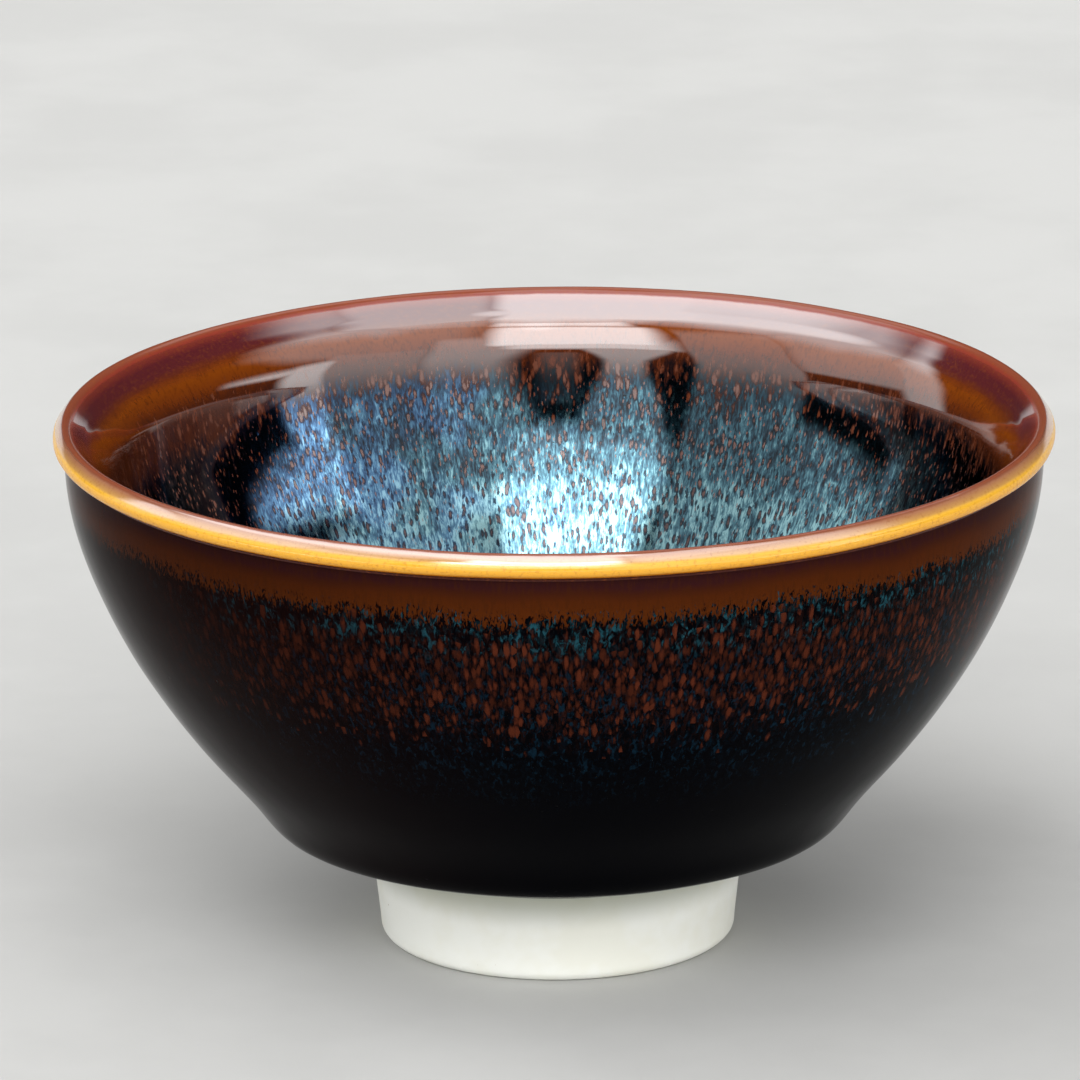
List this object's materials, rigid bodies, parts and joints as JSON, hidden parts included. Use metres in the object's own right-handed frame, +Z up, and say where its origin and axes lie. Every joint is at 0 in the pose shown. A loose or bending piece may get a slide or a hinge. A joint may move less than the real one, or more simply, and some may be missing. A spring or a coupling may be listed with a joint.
{
  "type": "tea bowl",
  "caption": "Footed tea bowl in dark iron glaze, amber at the rolled lip, streaked blue inside, on a bare white foot ring.",
  "frame": {"origin": "centre of the foot ring's standing face, on the table under the bowl", "axes": "+Z up along the bowl's axis; the bowl is round, so +X and +Y are free, and -Y faces the viewer"},
  "size_m": [0.124, 0.124, 0.0667],
  "materials": {
    "porcelain": "bare, smooth and dull",
    "dark_glaze": "gloss, black with rust flecks under an amber band",
    "streaked_glaze": "gloss, blue-green streaks and rust flecks on black",
    "amber_glaze": "gloss, honey yellow to red brown"
  },
  "bodies": {
    "root": {"bowl_body": "porcelain", "foot_ring": "porcelain", "outer_glaze_coat": "dark_glaze", "inner_glaze_coat": "streaked_glaze", "lip_glaze_roll": "amber_glaze", "well_glaze_pool": "streaked_glaze"}
  },
  "joints": []
}
